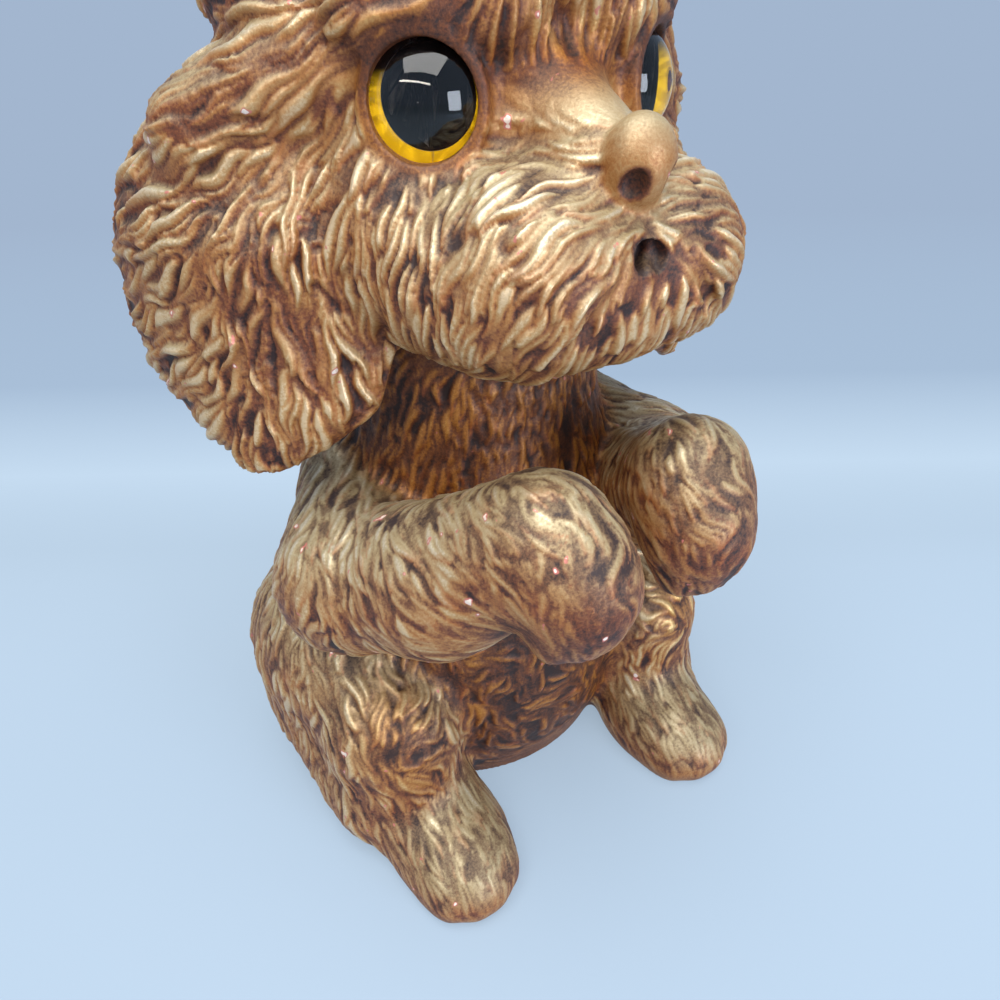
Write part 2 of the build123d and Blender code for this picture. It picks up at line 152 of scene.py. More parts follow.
def body(p):
    """Distance to body, legs and stub tail, cut flat at the table and hollowed from below."""
    d = column(p)
    for s in (-1, 1):
        d = join(d, hind_leg(p, s), 8)
    d = join(d, egg(p, (0, 57, 26), (13, 12, 27)), 6)
    for s in (-1, 1):
        d = join(d, foreleg(p, s), 5)
    d = np.maximum(d, -p[..., 2])
    return np.maximum(d, -np.maximum(column(p, -WALL), p[..., 2] - HOLLOW_TOP))


# Eyes: place and radius, and how far each one turns out and up
EYE_X, EYE_Y, EYE_Z, EYE_R = 33.5, -43.2, 257.0, 12.4
TURN, LIFT = radians(37), radians(4)


def eye_axis(s):
    """Way an eye looks."""
    flat = np.cos(LIFT)
    return np.array((s * np.sin(TURN) * flat, -np.cos(TURN) * flat, np.sin(LIFT)), np.float32)


def eye_place(s):
    """Middle of an eye."""
    return np.float32((s * EYE_X, EYE_Y, EYE_Z))


EAR = np.array(
    [
        # Height, then the middle's x and y, half width and half thickness of the hanging flap
        (280, 44, 4, 10, 5),
        (266, 54, 3, 20, 6),
        (252, 66, 0, 28, 7),
        (240, 72, -2, 36, 7.5),
        (226, 77, -5, 40, 9.5),
        (198, 77.5, -6, 45, 9),
        (180, 78, -10, 37, 8),
        (168, 79, -13, 20, 6),
        (160, 80, -14, 5, 3),
    ],
    dtype=np.float32,
)
# Ways across and out of the flap, seen from above, and the height that it hangs from
EAR_WIDE, EAR_OUT = np.float32((0.63, 0.777)), np.float32((0.777, -0.63))
FLAP_TOP = 262


def ear(p, s):
    """Distance to one hanging ear, the roll of hair over its root and the crease between them."""
    x, y, half, thick = profile(EAR[::-1], 158, 284, 13, p[..., 2])
    a, b = p[..., 0] * s - x, p[..., 1] - y
    wide = (a * EAR_WIDE[0] + b * EAR_WIDE[1]) / half
    bow = 7 * np.minimum(wide * wide, 1.6) * half / 40
    out = (a * EAR_OUT[0] + b * EAR_OUT[1] + bow) / thick
    near = np.sqrt(wide * wide + out * out) + 1e-6
    d = near * (near - 1) / (np.sqrt((wide / half) ** 2 + (out / thick) ** 2) + 1e-6)
    d = np.maximum(d, np.maximum(p[..., 2] - 270, 161 - p[..., 2]))
    d = join(d, limb(p, (s * 46, -14, 263), (s * 73, 4, 249), 15, 13), 7)
    d = cut(d, limb(p, (s * 52, -34, 243), (s * 78, -16, 240), 1.6, 1.8), 4)
    return cut(d, limb(p, (s * 78, -16, 240), (s * 100, 6, 229), 1.8, 1.0), 4)


def nostril(p, s):
    """Distance to one nostril's hollow."""
    return egg(p, (s * 5.2, -85.5, 242.5), (2.8, 5, 4))


def mouth(p):
    """Distance to the mouth's hollow."""
    return egg(p, (-0.5, -89, 228), (4.4, 8, 3.4))


def skull(p):
    """Distance to the head without ears, with its eye sockets, nostrils, lip lines and mouth."""
    # Braincase, neck, cheeks, muzzle, topknot and fringe
    d = egg(p, (0, 2, 252), (54, 52, 54))
    d = join(d, limb(p, (0, 1, 172), (0, 0, 218), 34, 43), 14)
    for s in (-1, 1):
        d = join(d, egg(p, (s * 33, -24, 224), (23, 28, 28)), 14)
    d = join(d, egg(p, (0, -52, 222), (40, 36, 24)), 14)
    d = join(d, egg(p, (0, -10, 296), (38, 40, 22)), 12)
    d = join(d, egg(p, (0, -34, 286), (36, 22, 18)), 8)
    # Flews, whisker lobes, temple hair and brows, then bridge and chin
    for s in (-1, 1):
        d = join(d, egg(p, (s * 29, -52, 214), (18, 26, 16)), 12)
        d = join(d, egg(p, (s * 20, -67.5, 221), (18.5, 21, 22)), 11)
        d = join(d, egg(p, (s * 45, 6, 276), (20, 28, 13)), 8)
        d = join(d, limb(p, (s * 16, -46, 274), (s * 41, -31, 274), 8, 8), 10)
    d = join(d, limb(p, (0, -38, 256), (0, -67, 245), 14, 11), 9)
    d = join(d, egg(p, (0, -67, 210), (18, 18, 13)), 9)
    # Collar and rim around each eye, and its socket
    for s in (-1, 1):
        q = p - eye_place(s)
        along = q @ eye_axis(s)
        across = np.sqrt(np.maximum((q * q).sum(-1) - along * along, 0))
        collar = np.maximum(across - EYE_R - 1.6, np.abs(along + 9) - 7.6)
        rim = np.sqrt((across - EYE_R - 0.8) ** 2 + (along + 1.2) ** 2) - 1.0
        socket = np.maximum(across - EYE_R - 0.2, -along - 6.6)
        d = np.maximum(join(join(d, collar, 6), rim, 3), -socket)
    # Nose with its nostrils, lip lines and mouth
    d = join(d, egg(p, (0, -79.5, 247), (8.2, 7.6, 9.5)), 2)
    for s in (-1, 1):
        d = cut(d, nostril(p, s), 1)
        d = cut(d, limb(p, (s * 8, -91, 226), (s * 26, -86, 207), 1.2, 1.2), 3)
    d = cut(d, limb(p, (0, -92, 238), (0, -92, 230), 1, 1.4), 3)
    return cut(d, mouth(p), 1)


def head(p):
    """Distance to the head with both ears."""
    d = skull(p)
    for s in (-1, 1):
        d = join(d, ear(p, s), 5)
    return d


def mesh_of(form, reach, low, high, pitch):
    """Points, outward normals and quads of a form alike on both sides, measured only near its surface."""
    block, band = 8, 4.0
    spans = (reach, high[0] - low[0], high[1] - low[1])
    counts = [int(np.ceil(span / pitch / block)) * block for span in spans]
    starts = (pitch / 2, *low)
    axes = [(start + pitch * np.arange(count)).astype(np.float32) for start, count in zip(starts, counts)]
    middles = np.stack(np.meshgrid(*[a.reshape(-1, block).mean(1) for a in axes], indexing="ij"), -1)
    rough = form(middles)
    field = np.repeat(np.repeat(np.repeat(np.clip(rough, -band, band), block, 0), block, 1), block, 2)
    ticks = pitch * (np.arange(block) - (block - 1) / 2)
    inner = np.stack(np.meshgrid(ticks, ticks, ticks, indexing="ij"), -1).astype(np.float32)
    # Only blocks within one and a half blocks of the surface are measured point by point
    near = np.argwhere(np.abs(rough) < pitch * block * 1.5)
    for some in np.array_split(near, len(near) // 400 + 1):
        values = form(middles[tuple(some.T)][:, None, None, None] + inner)
        for (i, j, k), value in zip(some * block, values):
            field[i : i + block, j : j + block, k : k + block] = value
    field = np.concatenate([field[::-1], field])
    grid = openvdb.FloatGrid(band)
    grid.copyFromArray(np.clip(field, -band, band))
    points, quads = grid.convertToQuads(0.0)
    points = points * np.float32(pitch) + np.float32((pitch / 2 - pitch * counts[0], low[0], low[1]))
    for _ in range(2):
        slope = gradient(form, points)
        points = points - slope * np.clip(form(points), -pitch, pitch)[:, None]
    return points, gradient(form, points), quads[:, ::-1]


def gradient(form, p):
    """Unit outward direction of a form at each point."""
    slope = np.stack([form(p + np.float32(e)) - form(p - np.float32(e)) for e in 0.4 * np.eye(3)], -1)
    return slope / (np.linalg.norm(slope, axis=1, keepdims=True) + 1e-6)


# Combing: rows of a place, the way the fur lies there, then half width, length, height and waviness
COMB = [
    # Topknot, back of the head and underside of the jaw
    ((0, -20, 308), (0, -1, -0.1), 2.4, 22, 1.8, 0.4),
    ((-34, -5, 298), (-0.9, -0.1, -0.4), 2.4, 22, 1.8, 0.4),
    ((0, 40, 290), (0, 0.7, -0.7), 2.4, 24, 1.7, 0.4),
    ((0, 54, 240), (0, 0.1, -1), 2.4, 26, 1.7, 0.4),
    ((-45, 32, 240), (-0.3, 0.2, -0.9), 2.4, 26, 1.7, 0.4),
    ((0, -84, 206), (0, 0.4, -1), 1.5, 10, 0.6, 0.2),
    ((0, -60, 196), (0, 1, -0.2), 1.6, 8, 0.15, 0.1),
    ((-28, -56, 198), (-0.3, 0.6, -0.4), 1.6, 8, 0.2, 0.1),
    ((-30, -30, 190), (0, 0.8, -0.6), 1.6, 8, 0.2, 0.1),
    # Chest, belly, shoulder, flank, haunch, toes, back and tail
    ((0, -44, 142), (0, -0.1, -1), 1.5, 12, 1.0, 0.3),
    ((0, -58, 85), (0.4, -0.2, -0.9), 1.8, 15, 1.1, 0.9),
    ((0, -54, 30), (0, 0, -1), 1.8, 14, 0.9, 0.6),
    ((0, -46, 8), (1, 0, 0), 1.5, 8, 0.1, 0.1),
    ((-62, 6, 164), (-0.3, -0.4, -0.8), 1.4, 13, 0.7, 0.4),
    ((-74, -4, 138), (-0.1, -0.5, -0.8), 1.4, 14, 0.65, 0.4),
    ((-34, -60, 118), (0.6, -0.7, 0.2), 1.3, 12, 0.4, 0.4),
    ((-76, 22, 108), (-0.2, -0.1, -1), 1.9, 18, 1.2, 0.5),
    ((-92, 24, 58), (-0.05, -0.3, -0.9), 1.9, 18, 1.2, 0.5),
    ((-84, 40, 22), (-0.2, -0.2, -0.9), 1.9, 18, 1.1, 0.4),
    ((-54, -92, 12), (0, -0.5, -0.9), 1.5, 11, 0.3, 0.2),
    ((0, 60, 130), (0, 0.1, -1), 2.3, 25, 1.5, 0.4),
    ((-40, 48, 130), (-0.2, 0.2, -1), 2.3, 25, 1.5, 0.4),
    ((0, 64, 60), (0, 0.1, -1), 2.3, 24, 1.5, 0.5),
    ((0, 70, 26), (0, 0, -1), 1.9, 20, 1.3, 0.3),
    # Back of the ear
    ((-100, 24, 204), (-0.3, 0.8, -0.5), 2.0, 20, 1.8, 0.5),
    ((-92, 26, 240), (-0.4, 0.7, -0.6), 2.0, 20, 1.8, 0.5),
    # Roll over the ear: out and back from the brow, smooth beside the eye
    ((-45, -35, 270), (-0.6, 0.6, -0.4), 3.0, 30, 1.8, 0.35),
    ((-55, -25, 260), (-0.6, 0.5, -0.6), 3.0, 30, 2.2, 0.35),
    ((-65, -15, 265), (-0.7, 0.6, -0.3), 2.5, 26, 1.9, 0.4),
    ((-80, -8, 255), (-0.7, 0.6, -0.3), 2.2, 22, 1.7, 0.4),
    ((-87, 0, 247), (-0.2, 1, -0.2), 2.0, 20, 1.7, 0.4),
    ((-70, -14, 247), (-0.8, 0.4, -0.3), 2.2, 22, 1.8, 0.4),
    ((-60, -12, 275), (-0.3, 0.9, -0.3), 2.6, 25, 1.7, 0.4),
    ((-48, -28, 254), (-0.5, 0.5, -0.8), 2.8, 18, 0.5, 0.2),
    # Hanging flap: a fan from the crease, back along the outer edge, down the middle, in towards the cheek
    ((-58, -25, 235), (-0.5, -0.1, -0.8), 2.0, 22, 2.0, 0.5),
    ((-70, -18, 235), (-0.7, 0.1, -0.7), 2.0, 22, 2.0, 0.5),
    ((-83, -5, 235), (-0.6, 0.7, -0.4), 2.0, 22, 1.9, 0.5),
    ((-92, 4, 222), (-0.4, 0.8, -0.5), 2.0, 22, 1.9, 0.6),
    ((-80, -16, 222), (-0.3, 0.3, -0.9), 2.0, 22, 2.0, 0.6),
    ((-65, -26, 225), (0, -0.3, -1), 2.0, 22, 2.0, 0.6),
    ((-92, 0, 205), (-0.4, 0.8, -0.5), 1.9, 20, 1.9, 0.6),
    ((-80, -17, 206), (-0.2, 0.3, -0.9), 2.1, 22, 2.0, 0.6),
    ((-68, -28, 206), (0, 0, -1), 2.2, 23, 2.1, 0.5),
    ((-52, -35, 203), (0.3, -0.1, -1), 2.0, 20, 1.9, 0.5),
    ((-90, -5, 186), (-0.4, 0.7, -0.6), 1.9, 18, 1.8, 0.5),
    ((-76, -22, 188), (-0.1, 0, -1), 2.0, 22, 2.0, 0.5),
    ((-60, -33, 188), (0.2, 0, -1), 2.0, 20, 1.9, 0.4),
    ((-76, -23, 172), (0, 0.1, -1), 1.9, 18, 1.8, 0.4),
    # Cheek: down and out from under the eye
    ((-52, -32, 238), (-0.5, 0.2, -0.9), 1.5, 13, 1.2, 0.3),
    ((-45, -45, 236), (-0.5, -0.2, -0.9), 1.5, 12, 1.1, 0.3),
    ((-36, -52, 240), (-0.5, -0.5, -0.7), 1.4, 11, 1.0, 0.3),
    ((-48, -52, 225), (-0.2, -0.1, -1), 1.5, 13, 1.2, 0.3),
    ((-40, -60, 232), (-0.6, -0.4, -0.7), 1.5, 13, 1.2, 0.3),
    ((-44, -68, 220), (-0.2, 0.1, -1), 1.6, 14, 1.2, 0.3),
    # Muzzle: away from the nose, then down the whisker lobe to the lip
    ((-18, -52, 247), (-0.9, 0.2, -0.2), 1.4, 15, 1.0, 0.35),
    ((-12, -66, 248), (-0.3, 0.9, -0.2), 1.4, 15, 1.0, 0.35),
    ((-10, -74, 252), (-0.5, 0.8, -0.1), 1.3, 13, 0.6, 0.3),
    ((-30, -62, 240), (-0.8, -0.2, -0.5), 1.5, 15, 1.2, 0.35),
    ((-28, -74, 238), (-0.9, 0.1, -0.4), 1.7, 17, 1.4, 0.4),
    ((-14, -80, 238), (-1, -0.1, -0.1), 1.6, 17, 1.4, 0.4),
    ((-26, -85, 231), (-0.8, 0, -0.5), 1.8, 18, 1.6, 0.4),
    ((-36, -78, 228), (-0.6, 0.1, -0.8), 1.7, 16, 1.4, 0.4),
    ((-18, -88, 226), (-0.8, -0.1, -0.6), 1.7, 17, 1.5, 0.4),
    ((-32, -84, 220), (-0.4, 0.3, -0.9), 1.7, 15, 1.4, 0.4),
    ((-12, -88, 215), (0.1, 0.2, -1), 1.6, 14, 1.3, 0.3),
    ((0, -88, 216), (0, 0.1, -1), 1.5, 13, 1.3, 0.2),
    # Forehead: a fringe that falls to a point over the smooth saddle between the eyes
    ((-22, -50, 271), (0, 0.5, -0.9), 1.9, 18, 1.4, 0.25),
    ((-12, -55, 271), (0.2, 0.2, -0.9), 1.9, 20, 2.0, 0.25),
    ((0, -56, 271), (0, -0.4, -0.9), 1.9, 20, 2.0, 0.25),
    ((-10, -62, 260), (0.4, 0.4, 0.8), 1.6, 8, 0.12, 0.1),
    ((-17, -50, 255), (-0.7, 0.2, 0.7), 1.6, 8, 0.2, 0.1),
    ((-37, -43, 273), (-0.8, 0.5, -0.2), 2.4, 16, 0.3, 0.2),
    # Neck and shoulder: straight down
    ((-25, -33, 172), (-0.1, -0.1, -1), 1.5, 11, 1.2, 0.3),
    ((0, -40, 172), (0, -0.1, -1), 1.4, 10, 1.2, 0.3),
    ((-39, -22, 161), (-0.3, 0.1, -0.9), 1.5, 12, 0.9, 0.3),
    # Foreleg: fine lines along the leg to the paw, down at the sides
    ((-63, -28, 150), (-0.6, -0.7, -0.4), 1.3, 12, 0.6, 0.4),
    ((-78, -37, 138), (-0.4, -0.6, -0.7), 1.3, 13, 0.6, 0.4),
    ((-55, -73, 153), (0, -0.9, -0.4), 1.3, 14, 0.45, 0.5),
    ((-68, -64, 140), (0, -0.7, -0.7), 1.5, 12, 0.4, 0.4),
    ((-30, -92, 172), (0.4, -0.8, -0.4), 1.2, 14, 0.4, 0.6),
    ((-20, -105, 160), (-0.2, -0.6, -0.8), 1.2, 13, 0.5, 0.4),
    ((-34, -108, 154), (0, -0.3, -1), 1.2, 10, 0.3, 0.4),
    ((-55, -82, 133), (0.8, -0.4, -0.4), 1.4, 12, 0.3, 0.4),
    ((-10, -95, 157), (0, -0.7, -0.7), 1.5, 13, 0.8, 0.4),
    ((-87, -34, 126), (-0.3, 0.4, -0.9), 1.7, 14, 0.9, 0.5),
    # Hind leg: forwards over the thigh, down the shin and smooth over the foot
    ((-90, -5, 72), (-0.3, -0.2, -0.9), 1.7, 14, 0.9, 0.5),
    ((-77, -20, 82), (-0.2, -0.7, -0.7), 1.8, 16, 1.0, 0.5),
    ((-75, -38, 70), (0, -0.9, -0.4), 2.0, 16, 1.3, 0.7),
    ((-90, -17, 52), (0.1, 0.1, -1), 1.8, 15, 1.0, 0.5),
    ((-83, -48, 47), (0.2, -0.1, -1), 1.8, 15, 1.0, 0.5),
    ((-53, -47, 71), (-0.1, -0.9, -0.5), 1.8, 14, 1.2, 0.7),
    ((-63, -62, 36), (0.1, -0.2, -1), 1.8, 15, 0.6, 0.4),
    ((-62, -78, 22), (0, -0.9, -0.4), 1.6, 14, 0.35, 0.4),
    ((-46, -85, 20), (0, -0.8, -0.5), 1.5, 12, 0.3, 0.4),
    ((-45, -66, 27), (0.1, -0.9, -0.4), 1.6, 14, 0.4, 0.4),
    # Belly: loose curls
    ((-23, -54, 69), (0.5, -0.2, -0.9), 1.8, 15, 1.0, 0.9),
    ((0, -56, 43), (1, 0, 0.2), 1.8, 15, 1.0, 0.9),
    ((-30, -50, 47), (0.2, 0, -1), 1.8, 14, 0.9, 0.8),
]
# Whorls in the combing: a middle, a radius and the sense of turning
WHORLS = [
    ((-62, -58, 58), 13, 1.0),
    ((-14, -56, 100), 13, -1.0),
    ((20, -56, 74), 12, 1.0),
    ((-24, -108, 158), 8, 1.0),
]
WHORL_PULL = 2.6
# The left side is combed as a mirror of the right
ROWS = [(place, way, rest) for place, way, *rest in COMB]
ROWS += [((-c[0], c[1], c[2]), (-w[0], w[1], w[2]), rest) for c, w, rest in ROWS if c[0]]
COMB_PLACE = np.array([r[0] for r in ROWS], np.float32)
COMB_VALUE = np.array([(*(np.array(r[1]) / np.linalg.norm(r[1])), *r[2]) for r in ROWS], np.float32)
# Spread of each row's say, in square millimetres
COMB_BLEND = 30
# Half width, length and height of a lock against its row's
LOCK_SCALE = np.float32((0.95, 1.3, 1.5))
# Half widths from a lock's middle line to where its say ends
LOCK_REACH = 3.5
# Least level of fur that takes a lock, and bare points too few for another round
LEAST_FUR, FEW_POINTS = 0.03, 30
# Share of the bare surface that a round fills, and half widths beside a lock where no other starts
ROUND_FILL, LOCK_ROOM = 0.6, 1.1
# Share by which a lock gives way in each later round, and its spread in direction in radians
LOCK_YIELD, LOCK_LEAN = 0.12, 0.07
# Half widths to a lone lock's edge, half widths over which two locks' crests fade, and depth of say in mm
LOCK_EDGE, CREST_FADE, LOCK_DEPTH = 1.35, 1.7, 4


def combed(p):
    """Way, half width, length, height and waviness of the fur at each point."""
    gap = ((p[:, None] - COMB_PLACE) ** 2).sum(-1)
    weight = 1 / (gap + COMB_BLEND) ** 2
    value = (weight @ COMB_VALUE) / weight.sum(1, keepdims=True)
    value[:, 3:6] *= LOCK_SCALE
    way = value[:, :3]
    for place, radius, turn in WHORLS:
        for s in (1, -1):
            arm = p - np.float32((place[0] * s, place[1], place[2]))
            near = np.exp(-(arm * arm).sum(1) / radius**2)[:, None]
            outward = np.float32((np.sign(place[0] * s) * 0.5, -0.85, 0.1))
            way = way + WHORL_PULL * near * np.cross(outward * turn * s, arm) / radius
    return way, value[:, 3:]


def sway(p):
    """Slow wave through the whole figure, so that neighbouring locks bend together."""
    first = np.sin(p @ np.float32((0.14, 0.12, 0.44)))
    second = np.sin(p @ np.float32((0.38, -0.22, 0.1)) + 1.3)
    return 0.55 * first + 0.55 * second


def tangent(way, normal):
    """Part of a way that lies in the surface, at length one."""
    way = way - (way * normal).sum(1, keepdims=True) * normal
    return way / (np.linalg.norm(way, axis=1, keepdims=True) + 1e-6)


def locks(points, normals, area, level, rounds=8, steps=14):
    """Crest share, way along the lock and lock height at each point, with combed locks packed together."""
    tree = kdtree.KDTree(len(points))
    for i, p in enumerate(points):
        tree.insert(p, i)
    tree.balance()
    cell = 6.0
    low = points.min(0) - 3 * cell
    spans = np.ceil((points.max(0) + 3 * cell - low) / cell).astype(np.int64)
    corner = np.floor((points - low) / cell).astype(np.int64)
    key = (corner[:, 0] * spans[1] + corner[:, 1]) * spans[2] + corner[:, 2]
    order = np.argsort(key, kind="stable")
    cells = (order, key[order], low, spans, cell)
    free = level > LEAST_FUR
    found = []
    made = 0
    for lap in range(rounds):
        bare = np.flatnonzero(free)
        if len(bare) < FEW_POINTS:
            break
        size = combed(points[rng.choice(bare, 2000)])[1]
        # A lock covers about 0.8 of its box
        cover = np.mean(size[:, 0] * 2 * size[:, 1] * 0.8)
        count = int(ROUND_FILL * area * len(bare) / len(points) / cover) + 1
        start = rng.choice(bare, count)
        place, normal = points[start], normals[start]
        size = combed(place)[1] * rng.uniform(0.75, 1.25, (count, 4)).astype(np.float32)
        place = place - tangent(combed(place)[0], normal) * (0.5 * size[:, 1])[:, None]
        lean = rng.normal(0, LOCK_LEAN, count)
        trail = []
        for i in range(steps):
            hit = np.array([tree.find(p)[1] for p in place])
            normal = normals[hit]
            place = place - ((place - points[hit]) * normal).sum(1, keepdims=True) * normal
            ahead = tangent(combed(place)[0], normal)
            angle = (lean + size[:, 3] * sway(place))[:, None]
            ahead = ahead * np.cos(angle) + np.cross(normal, ahead) * np.sin(angle)
            trail.append((place, normal, ahead, np.full(count, i / (steps - 1))))
            place = place + ahead * (size[:, 1] / (steps - 1))[:, None]
        point, lock, off, when = beside(points, cells, trail, size)
        free[point[off < LOCK_ROOM]] = False
        found.append((point, lock + made, off * (1 + LOCK_YIELD * lap), when, size[lock, 2]))
        made += count
    return packed(len(points), *[np.concatenate(x) for x in zip(*found)])


def beside(points, cells, trail, size):
    """Points near each lock, how far off its middle line they lie in half widths, and how far along it."""
    order, key, low, spans, cell = cells
    steps, count = len(trail), len(size)
    place, normal, ahead, t = [np.concatenate(x).astype(np.float32) for x in zip(*trail)]
    lock = np.tile(np.arange(count), steps)
    width, length = size[lock, 0], size[lock, 1]
    side = np.cross(normal, ahead)
    corner = np.floor((place - low) / cell).astype(np.int64)
    found = []
    for offset in np.ndindex(3, 3, 3):
        c = corner + np.array(offset) - 1
        c = (c[:, 0] * spans[1] + c[:, 1]) * spans[2] + c[:, 2]
        first, last = np.searchsorted(key, c, "left"), np.searchsorted(key, c, "right")
        many = last - first
        stroke = np.repeat(np.arange(len(c)), many)
        if not len(stroke):
            continue
        inside = np.arange(len(stroke)) - np.repeat(np.cumsum(many) - many, many)
        point = order[first[stroke] + inside]
        gap = points[point] - place[stroke]
        along = (gap * ahead[stroke]).sum(1)
        # A step takes points a little past half way to the next one, and an end 1.5 half widths beyond it
        half = 0.6 * length[stroke] / (steps - 1)
        end = 1.5 * width[stroke]
        before = np.where(t[stroke] == 0, end, half)
        after = np.where(t[stroke] == 1, end, half)
        good = (along > -before) & (along < after)
        gap, along, stroke, point = gap[good], along[good], stroke[good], point[good]
        across = np.abs((gap * side[stroke]).sum(1))
        when = t[stroke] + along / length[stroke]
        # A lock starts at 0.4 of its width, soon fills it and thins from its middle to a tip
        taper = np.clip(np.minimum(when / 0.25 + 0.4, (1 - when) / 0.5 + 0.12), 0.12, 1)
        past = np.maximum(np.maximum(-when, when - 1), 0) * length[stroke] / width[stroke]
        off = np.hypot(across / (width[stroke] * taper), past)
        good = (off < LOCK_REACH) & ((gap * normal[stroke]).sum(1) ** 2 < LOCK_DEPTH**2)
        found.append((point[good], lock[stroke[good]], off[good], np.clip(when[good], 0, 1)))
    return [np.concatenate(x) for x in zip(*found)]


def packed(total, point, lock, off, when, height):
    """Gives each point to its nearest lock and rounds the crest off to the groove beside the next lock."""
    order = np.lexsort((off, point))
    point, lock, off, when, height = [x[order] for x in (point, lock, off, when, height)]
    held, first = np.unique(point, return_index=True)
    own, near = np.full(total, -1), np.full(total, LOCK_REACH)
    along, tall = np.full(total, 0.5), np.zeros(total)
    own[held], near[held], along[held], tall[held] = lock[first], off[first], when[first], height[first]
    point, lock, off = [x[lock != own[point]] for x in (point, lock, off)]
    held, first = np.unique(point, return_index=True)
    other, far = np.full(total, -1), np.full(total, LOCK_REACH)
    other[held], far[held] = lock[first], off[first]
    crest = np.sin(pi / 2 * np.clip((np.minimum(far, 2 * LOCK_EDGE - near) - near) / CREST_FADE, 0, 1))
    # A chance from the two locks' numbers gives each groove its own depth
    chance = np.sin(np.minimum(own, other) * 12.9898 + np.maximum(own, other) * 78.233) * 43758.5453
    return 1 - (0.6 + 0.4 * (chance - np.floor(chance))) * (1 - crest), along, tall


def surface_area(points, quads):
    """Area of a quad mesh."""
    a, b, c, d = [points[quads[:, i]] for i in range(4)]
    return 0.5 * np.linalg.norm(np.cross(c - a, d - b), axis=1).sum()


def softened(values, quads, weight):
    """Values drawn toward the mean of their neighbours across quads."""
    total, count = np.zeros(len(values)), np.zeros(len(values))
    for i in range(4):
        for j in (1, 3):
            total += np.bincount(quads[:, i], values[quads[:, (i + j) % 4]], len(values))
            count += np.bincount(quads[:, i], minlength=len(values))
    return values + weight * (total / np.maximum(count, 1) - values)


def furred(points, normals, quads, level):
    """Points raised by the locks, how high each lies on its lock, and how near to the lock's tip."""
    full = combed(points)[1][:, 2] * level
    crest, along, tall = locks(points, normals, surface_area(points, quads), level)
    # A lock rises from 0.6 of its height at the root to all of it half way along
    raised = tall * level * crest * (0.6 + 0.4 * np.clip(along / 0.5, 0, 1))
    for _ in range(2):
        raised = softened(raised, quads, 0.5)
    crest = softened(crest, quads, 0.5)
    # Fur lower than 0.6 mm goes over into an even, middling gold
    relief = np.clip(full / 0.6, 0, 1)
    ridge = crest * relief + 0.6 * (1 - relief)
    # The form lies between groove and crest
    shape = points + normals * (raised - 0.55 * full)[:, None]
    return shape, ridge, crest * np.clip(along * 2.5 - 1.5, 0, 1) * relief


def blot(points, place, size):
    """Soft blot on both sides of the figure: 1 in its middle, fading out over its size."""
    folded = np.stack([np.abs(points[:, 0]), points[:, 1], points[:, 2]], 1)
    return np.exp(-(((folded - np.float32(place)) / np.float32(size)) ** 2).sum(1))


def add_piece(name, points, quads, values, material, nodes):
    """Makes a mesh piece in metres with its painted values, standing for CAD nodes."""
    used, index = np.unique(quads, return_inverse=True)
    quads = index.reshape(quads.shape)
    mesh = bpy.data.meshes.new(name)
    mesh.vertices.add(len(used))
    metres = (points[used] + np.float32((0, AXIS_Y, 0))) / 1000
    mesh.vertices.foreach_set("co", metres.astype(np.float32).ravel())
    mesh.loops.add(quads.size)
    mesh.loops.foreach_set("vertex_index", quads.astype(np.int32).ravel())
    mesh.polygons.add(len(quads))
    mesh.polygons.foreach_set("loop_start", np.arange(0, quads.size, 4, dtype=np.int32))
    mesh.update(calc_edges=True)
    mesh.validate()
    mesh.shade_smooth()
    for label, data in values.items():
        layer = mesh.attributes.new(label, "FLOAT", "POINT")
        layer.data.foreach_set("value", data[used].astype(np.float32))
    mesh.materials.append(material)
    piece = bpy.data.objects.new(name, mesh)
    bpy.context.scene.collection.objects.link(piece)
    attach(piece, "root")
    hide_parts(*nodes)


# Materials


def node_adder(tree):
    """The function that adds a node with its settings, links and colour stops to a tree."""

    def add(kind, inputs=None, stops=(), **settings):
        node = tree.nodes.new("ShaderNode" + kind)
        for key, value in settings.items():
            setattr(node, key, value)
        for key, value in (inputs or {}).items():
            if isinstance(value, bpy.types.NodeSocket):
                tree.links.new(value, node.inputs[key])
            else:
                node.inputs[key].default_value = value
        if stops:
            band = node.color_ramp.elements
            while len(band) < len(stops):
                band.new(0.5)
            for element, (at, text) in zip(band, stops):
                element.position = at
                element.color = colour(text)
        return node

    return add


def new_material(name):
    """Empty material and its function that adds nodes."""
    material = bpy.data.materials.new(name)
    material.use_nodes = True
    material.node_tree.nodes.clear()
    return material, node_adder(material.node_tree)


def seen_rays(add):
    """1 on rays from the camera, off a gloss or through glass, which show a backdrop's own colour."""
    path = add("LightPath").outputs
    seen = add("Math", {0: path["Is Camera Ray"], 1: path["Is Glossy Ray"]}, operation="MAXIMUM").outputs[0]
    return add("Math", {0: seen, 1: path["Is Transmission Ray"]}, operation="MAXIMUM").outputs[0]


# Rubbed gold from groove to ridge: the share rubbed on, and the colour there; partly the paint's own brown
# ground and gold, partly painted shade in the darkest stops and a painted highlight in the palest
BRONZE = ((0.06, "#240e0c"), (0.3, "#6a371d"), (0.58, "#a26d3b"), (0.86, "#bb9362"), (1.0, "#cfb28a"))
# Paler olive copy of the ramp, mixed in on up-facing places: a painted sheen from the light above
PAINTED_TOP_SHEEN = ((0.06, "#32221d"), (0.3, "#6d5b43"), (0.58, "#9b8f6e"), (0.86, "#b3a98c"), (1.0, "#cac2ab"))
ORANGE = ((0.1, "#240c04"), (0.38, "#66340f"), (0.68, "#a96a24"), (1.0, "#d6a44e"))
LOCK_TIP, UNDERCOAT, BARE = "#a8552c", "#c4716a", "#efe0d2"
# Values on the points: height on the lock, share of orange, nearness to the lock's tip, knocked places
PAINTED = ("ridge", "warm", "tip", "wear")


